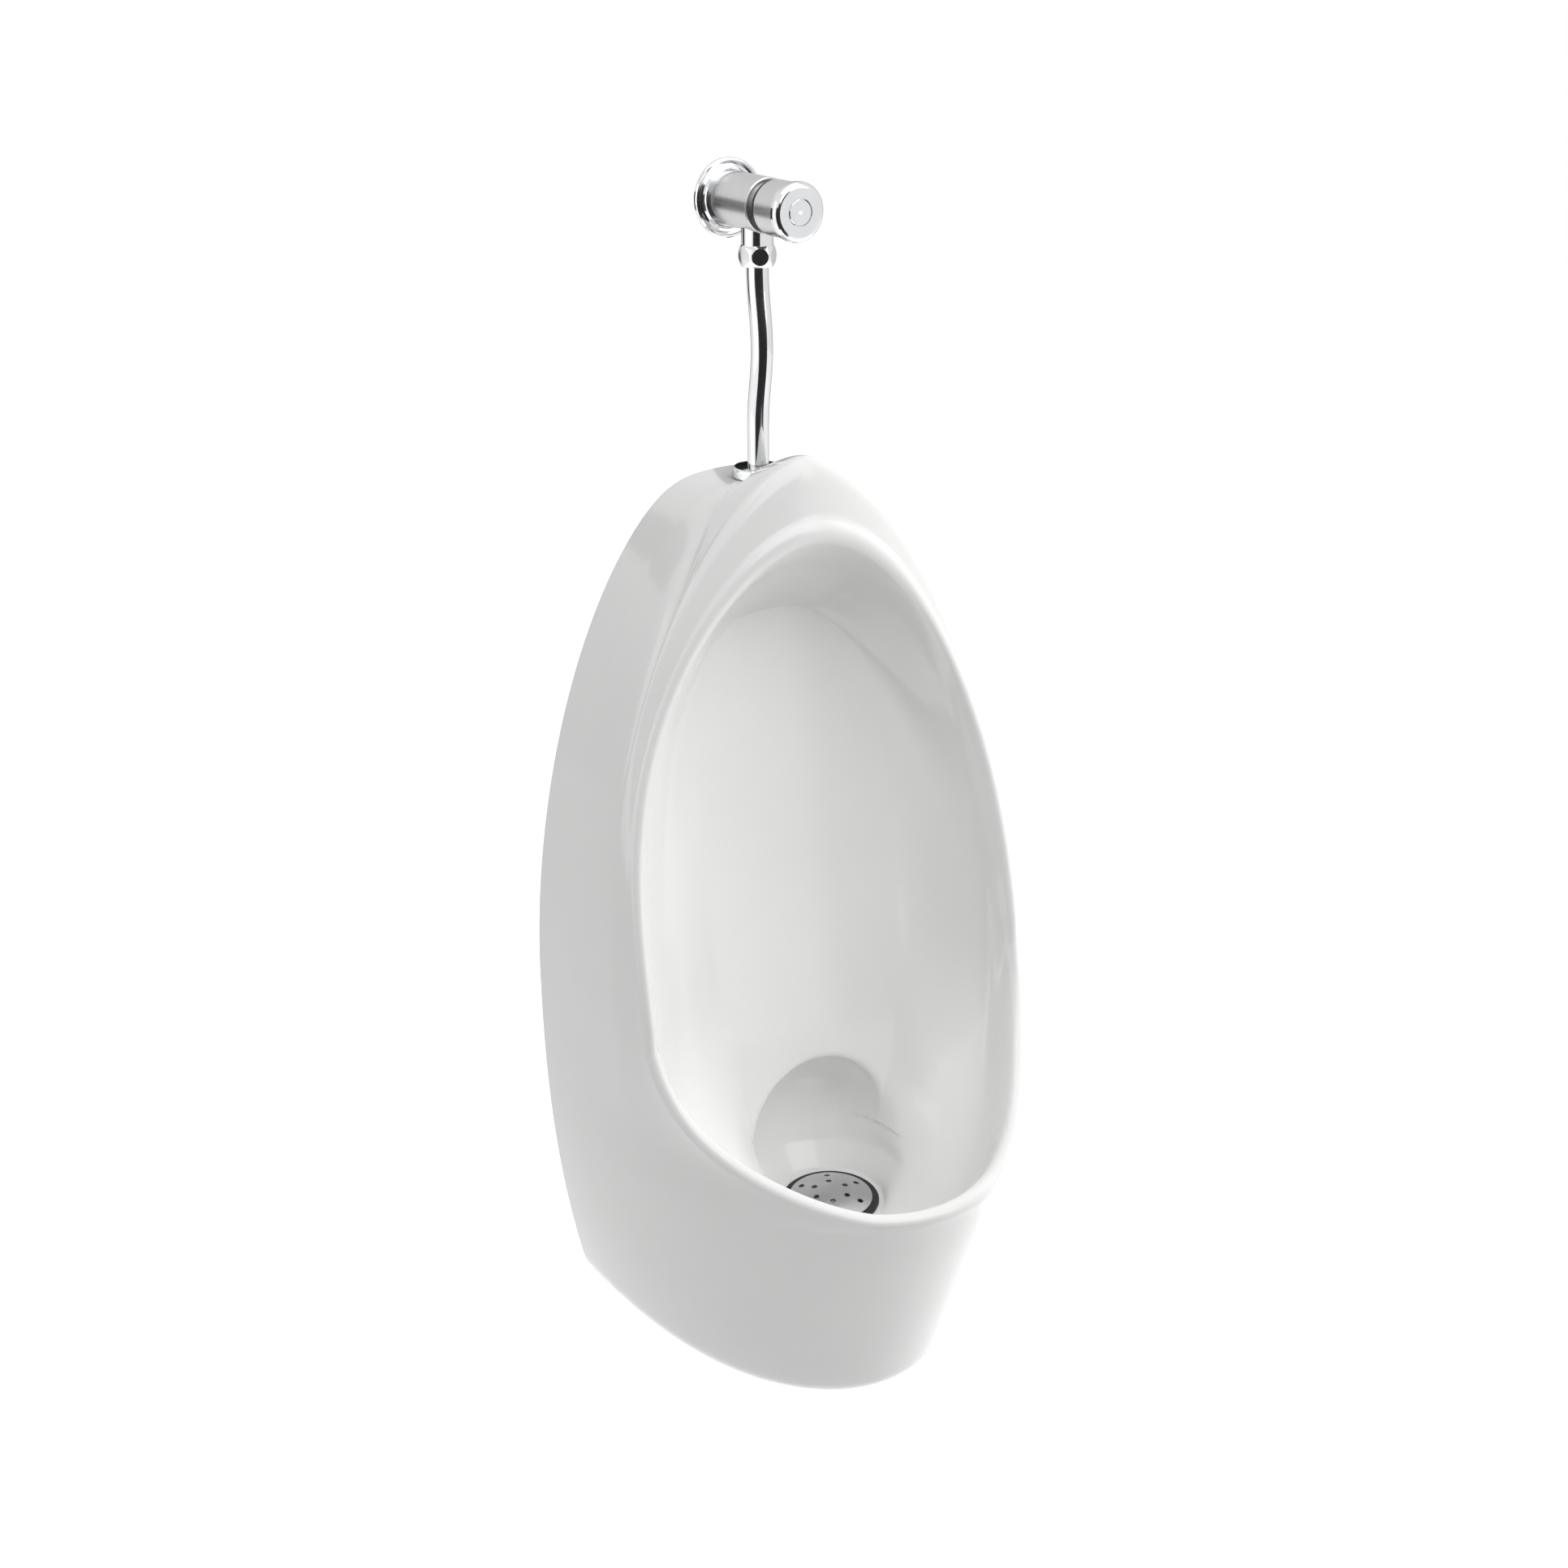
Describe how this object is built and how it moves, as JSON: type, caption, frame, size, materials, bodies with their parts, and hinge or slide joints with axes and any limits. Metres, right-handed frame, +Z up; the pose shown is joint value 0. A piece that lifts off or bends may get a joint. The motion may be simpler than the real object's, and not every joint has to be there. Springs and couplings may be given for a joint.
{
  "type": "wall hung urinal with flush valve",
  "caption": "White china urinal with a hooded oval bowl, a domed chrome waste strainer, and a chrome push-button flush valve joined to it by a slim exposed pipe.",
  "frame": {"origin": "midway between the two fixing screws, on the wall plane", "axes": "+Y into the wall along the fixing screws, +Z up, +X to the right seen from the front"},
  "size_m": [0.3318, 0.3243, 0.8627],
  "materials": {
    "china": "gloss white glaze",
    "strainer_chrome": "satin chrome",
    "black_rubber": "matt",
    "waste_chrome": "polished",
    "brass": "as turned",
    "zinc_steel": "zinc plated",
    "bright_chrome": "polished",
    "satin_chrome": "satin",
    "white_plastic": "moulded"
  },
  "bodies": {
    "fixed": {"china_body": "china", "strainer_gasket": "black_rubber", "waste_body": "waste_chrome", "waste_washer": "black_rubber", "waste_backnut": "brass", "wall_hangers": "zinc_steel", "hanger_washers": "zinc_steel", "hanger_screws": "zinc_steel", "valve_wall_flange": "bright_chrome", "inlet_nipple": "brass", "valve_body": "satin_chrome", "body_seal_ring": "satin_chrome", "valve_sleeve": "satin_chrome", "valve_seat": "brass", "stem_guide": "white_plastic", "stem_seal": "black_rubber", "return_spring": "zinc_steel", "outlet_spigot": "bright_chrome", "coupling_nut": "bright_chrome", "coupling_washer": "black_rubber", "flush_pipe": "bright_chrome", "inlet_rosette": "bright_chrome", "inlet_spud": "black_rubber"},
    "button": {"push_cap": "bright_chrome", "cap_insert": "bright_chrome", "push_stem": "zinc_steel", "piston": "white_plastic", "piston_seal": "black_rubber"},
    "strainer": {"waste_strainer": "strainer_chrome"}
  },
  "joints": [
    {"name": "push_cap_slide", "type": "slide", "parent": "fixed", "child": "button", "axis": [0, 1, 0], "range_m": [0, 0.005], "stiffness_N_per_m": 900, "springref_m": -0.01, "deforming": ["return_spring"]},
    {"name": "strainer_lift", "type": "slide", "parent": "fixed", "child": "strainer", "axis": [0, 0, 1], "range_m": [0, 0.03]}
  ]
}
